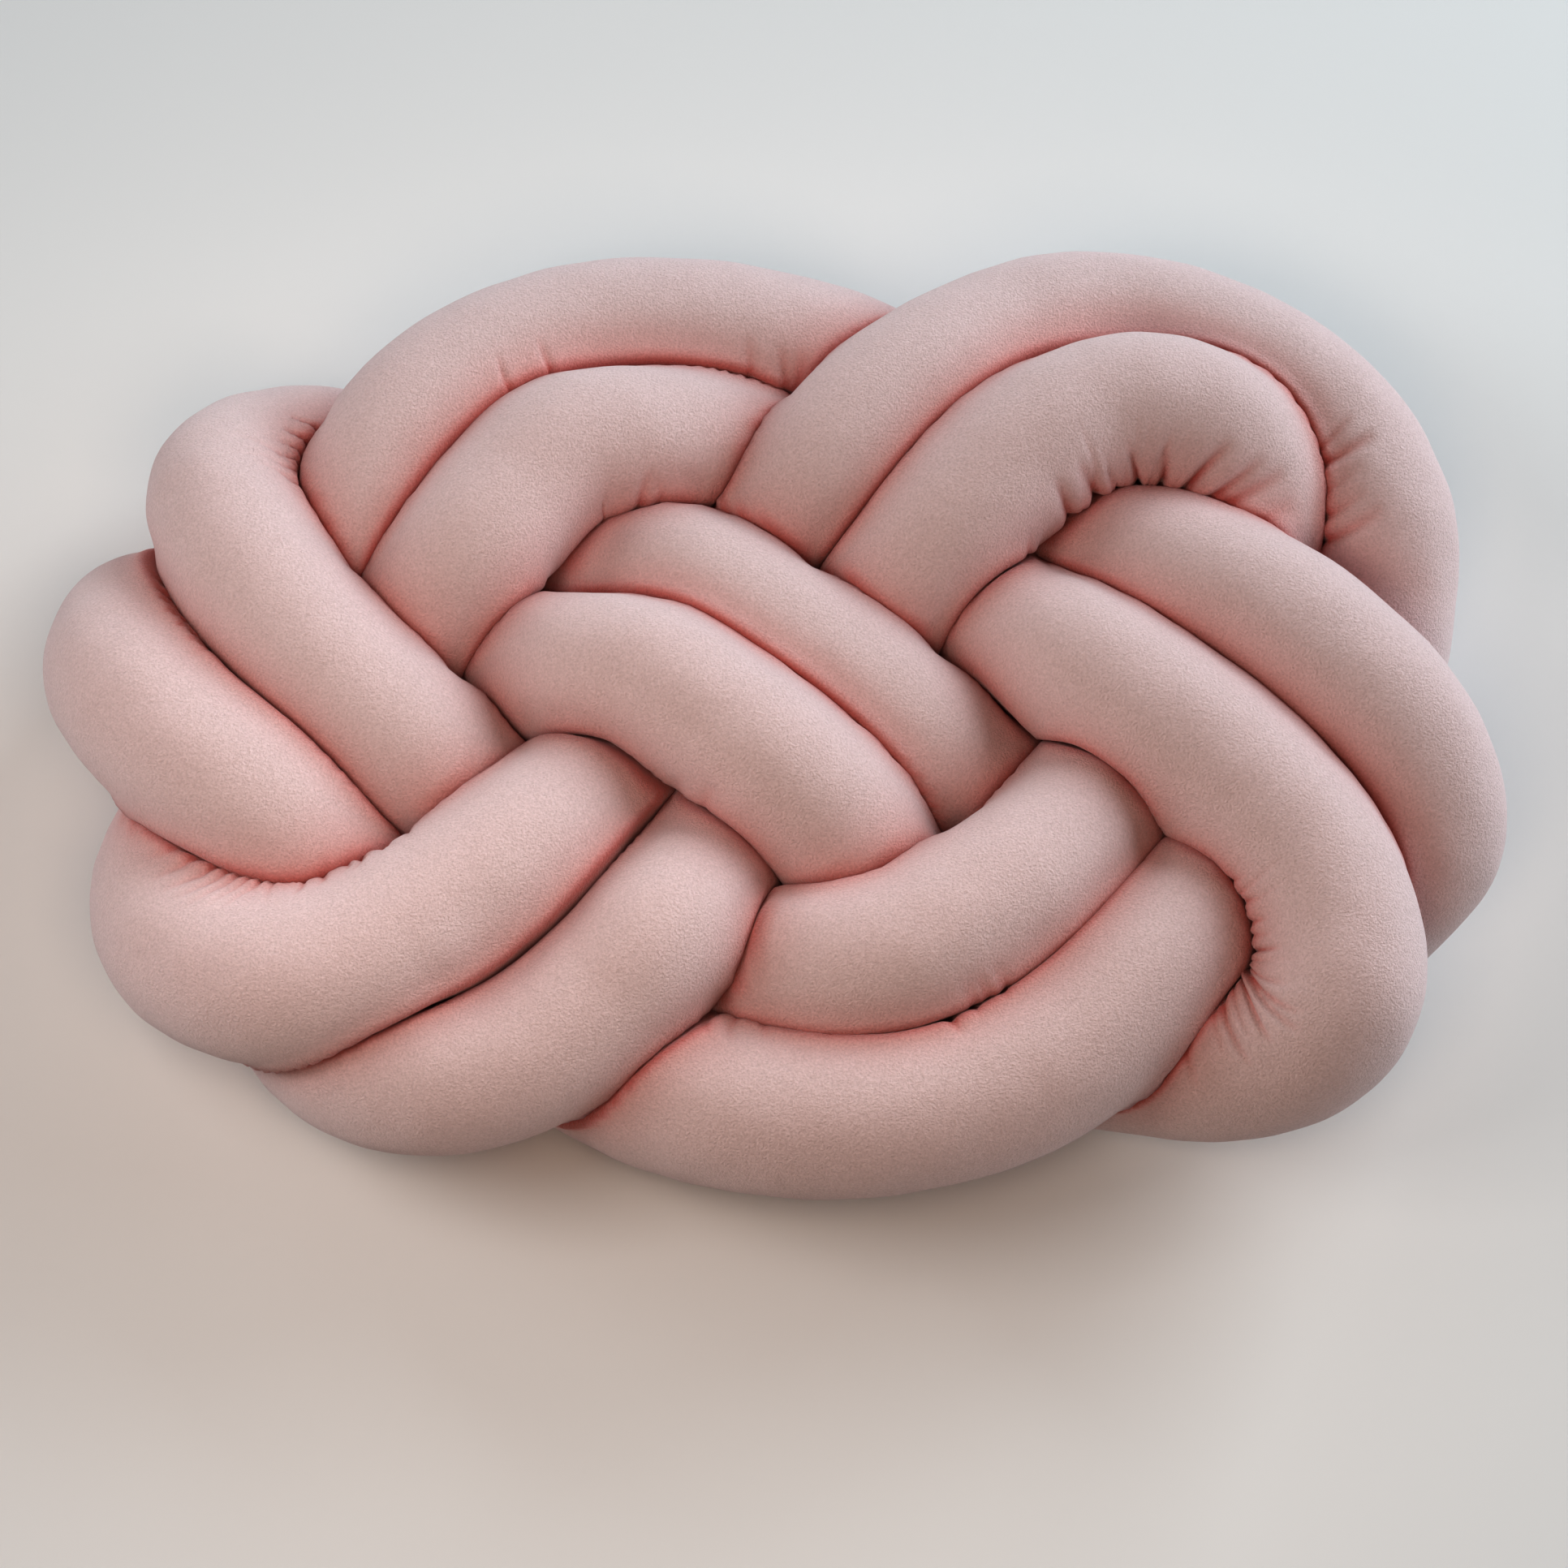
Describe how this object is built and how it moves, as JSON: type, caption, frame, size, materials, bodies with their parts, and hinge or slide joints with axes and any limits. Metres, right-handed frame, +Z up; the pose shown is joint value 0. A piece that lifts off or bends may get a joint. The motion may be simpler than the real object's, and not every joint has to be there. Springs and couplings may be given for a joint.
{
  "type": "knot cushion",
  "caption": "Flat sofa cushion woven from one long stuffed velvet tube, laid double in a rounded oblong knot.",
  "frame": {"origin": "middle of the cushion's outline, on the surface that it lies on", "axes": "+X along the cushion's length to the right as seen from above, +Y across it towards the edge that is uppermost when it stands, +Z up out of its face"},
  "size_m": [0.5982, 0.424, 0.1283],
  "materials": {
    "velvet": "dusty pink plush velvet with a short soft pile"
  },
  "bodies": {
    "root": {"knotted_tube": "velvet"}
  },
  "joints": []
}
